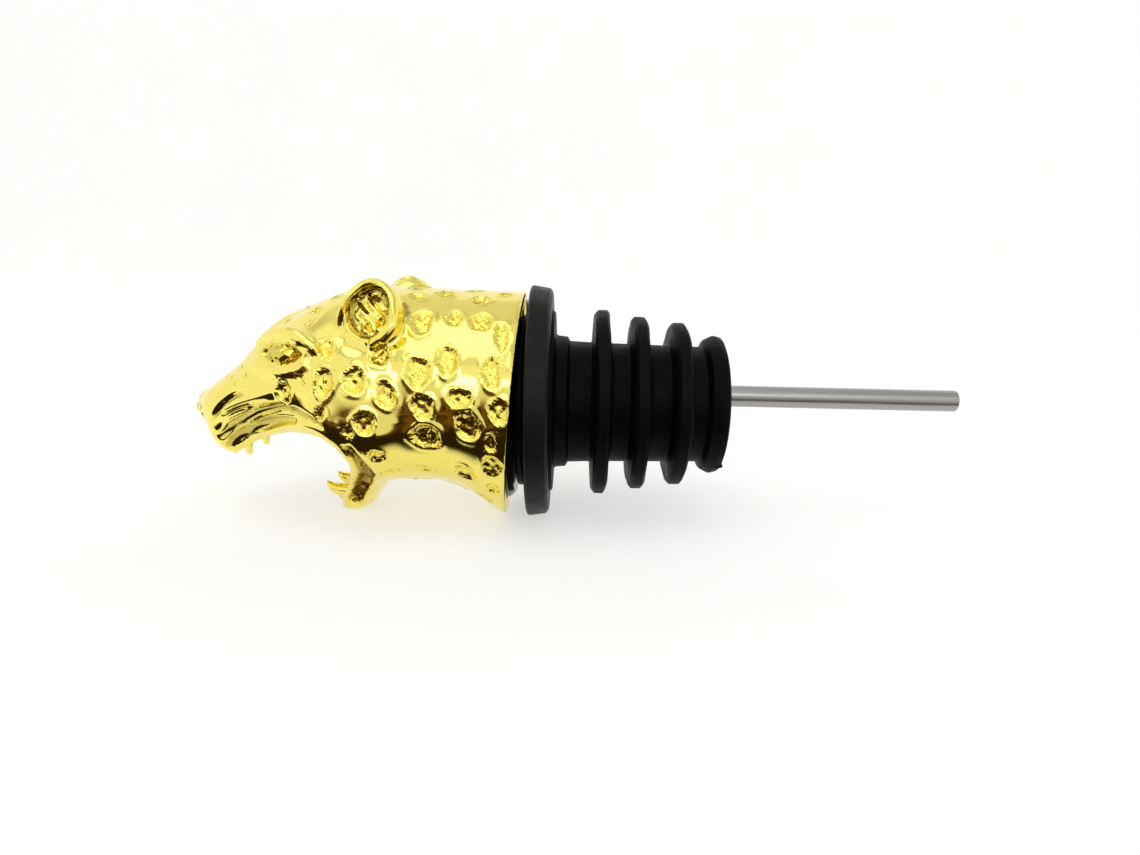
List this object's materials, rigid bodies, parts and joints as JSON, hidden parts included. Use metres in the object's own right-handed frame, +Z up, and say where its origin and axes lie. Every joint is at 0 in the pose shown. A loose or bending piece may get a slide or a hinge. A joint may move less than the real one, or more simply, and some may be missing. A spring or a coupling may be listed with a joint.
{
  "type": "liquor pour spout",
  "caption": "Bottle pour spout with a gold-plated roaring leopard head, black rubber flange and finned stopper, and a steel air tube.",
  "frame": {"origin": "centre of the footprint, at the height of the table the spout lies on", "axes": "+X along the stopper's axis from the nose to the tip of the air tube, +Z up through the crown of the head, +Y to the leopard's right"},
  "size_m": [0.1072, 0.0324, 0.0344],
  "materials": {
    "gold_plate": "polished gold plate on a zinc casting",
    "gloss_black_plastic": "glossy",
    "black_rubber": "matte moulded",
    "black_plastic": "satin",
    "stainless_steel": "drawn tube, brushed lengthwise"
  },
  "bodies": {
    "head": {"leopard_head": "gold_plate", "back_plug": "gloss_black_plastic", "seal_ring": "black_rubber", "pour_duct": "black_plastic", "tube_holder": "black_plastic"},
    "washer": {"flange_washer": "black_rubber"},
    "stopper": {"stopper_sleeve": "black_rubber"},
    "tube": {"air_tube": "stainless_steel"}
  },
  "joints": [
    {"name": "stopper_turn", "type": "hinge", "parent": "head", "child": "washer", "pos_m": [-0.00375, 0, 0.01622], "axis": [1, 0, 0], "continuous": true},
    {"name": "stopper_pull", "type": "slide", "parent": "washer", "child": "stopper", "axis": [1, 0, 0], "range_m": [0, 0.06]},
    {"name": "tube_pull", "type": "slide", "parent": "head", "child": "tube", "axis": [1, 0, 0], "range_m": [0, 0.046]}
  ]
}
